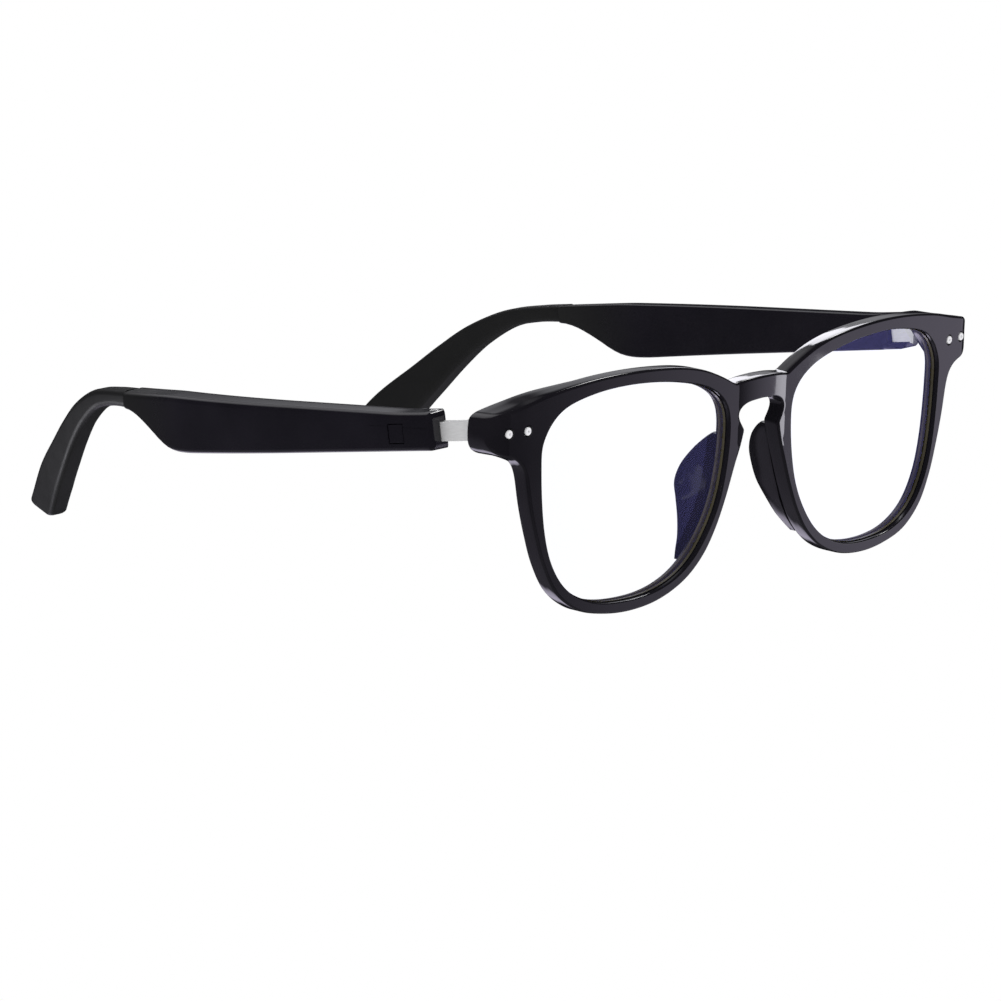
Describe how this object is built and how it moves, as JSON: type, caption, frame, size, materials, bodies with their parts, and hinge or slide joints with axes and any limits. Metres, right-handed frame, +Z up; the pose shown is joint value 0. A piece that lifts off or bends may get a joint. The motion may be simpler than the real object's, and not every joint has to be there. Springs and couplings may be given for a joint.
{
  "type": "smart glasses",
  "caption": "Keyhole-bridge smart glasses: rounded rims with clear lenses, riveted hinges and thick folding temples that hold batteries, speakers and press keys.",
  "frame": {"origin": "middle of the footprint of the open glasses, at the level of their lowest point", "axes": "+X to the wearer's left, +Y back towards the wearer along the open temples, +Z up; the front leans by its pantoscopic tilt"},
  "size_m": [0.139, 0.15, 0.0457],
  "materials": {
    "gloss_black": "polished acetate-look black",
    "clear_lens": "clear plano lens with a faint blue coating",
    "satin_steel": "satin stainless steel",
    "matte_rubber": "matte soft-touch black",
    "board_green": "solder-mask green",
    "cell_foil": "satin foil of a pouch cell",
    "gold_plate": "gold plating",
    "dark_plastic": "moulded dark plastic"
  },
  "bodies": {
    "front": {"front_frame": "gloss_black", "right_lens": "clear_lens", "right_nose_pad": "gloss_black", "right_hinge_tongue": "satin_steel", "right_inner_rivet": "satin_steel", "right_outer_rivet": "satin_steel", "left_lens": "clear_lens", "left_nose_pad": "gloss_black", "left_hinge_tongue": "satin_steel", "left_inner_rivet": "satin_steel", "left_outer_rivet": "satin_steel"},
    "right_temple": {"right_temple_shell": "gloss_black", "right_temple_cover": "gloss_black", "right_tip_sleeve": "matte_rubber", "right_tip_core": "satin_steel", "right_hinge_screw": "satin_steel", "right_key_switch": "dark_plastic", "right_circuit_board": "board_green", "right_microphone": "satin_steel", "right_battery": "cell_foil", "right_speaker": "dark_plastic", "right_speaker_grille": "satin_steel", "right_front_charge_contact": "gold_plate", "right_rear_charge_contact": "gold_plate"},
    "left_temple": {"left_temple_shell": "gloss_black", "left_temple_cover": "gloss_black", "left_tip_sleeve": "matte_rubber", "left_tip_core": "satin_steel", "left_hinge_screw": "satin_steel", "left_key_switch": "dark_plastic", "left_circuit_board": "board_green", "left_microphone": "satin_steel", "left_battery": "cell_foil", "left_speaker": "dark_plastic", "left_speaker_grille": "satin_steel", "left_front_charge_contact": "gold_plate", "left_rear_charge_contact": "gold_plate"},
    "right_key": {"right_touch_key": "gloss_black"},
    "left_key": {"left_touch_key": "gloss_black"}
  },
  "joints": [
    {"name": "right_temple_fold", "type": "hinge", "parent": "front", "child": "right_temple", "pos_m": [-0.0657, -0.05394, 0.03782], "axis": [0, 0, -1], "range_deg": [0, 77]},
    {"name": "left_temple_fold", "type": "hinge", "parent": "front", "child": "left_temple", "pos_m": [0.0657, -0.05394, 0.03782], "axis": [0, 0, 1], "range_deg": [0, 84]},
    {"name": "right_key_press", "type": "slide", "parent": "right_temple", "child": "right_key", "axis": [1, 0, 0], "range_m": [0, 0.00025]},
    {"name": "left_key_press", "type": "slide", "parent": "left_temple", "child": "left_key", "axis": [-1, 0, 0], "range_m": [0, 0.00025]}
  ]
}
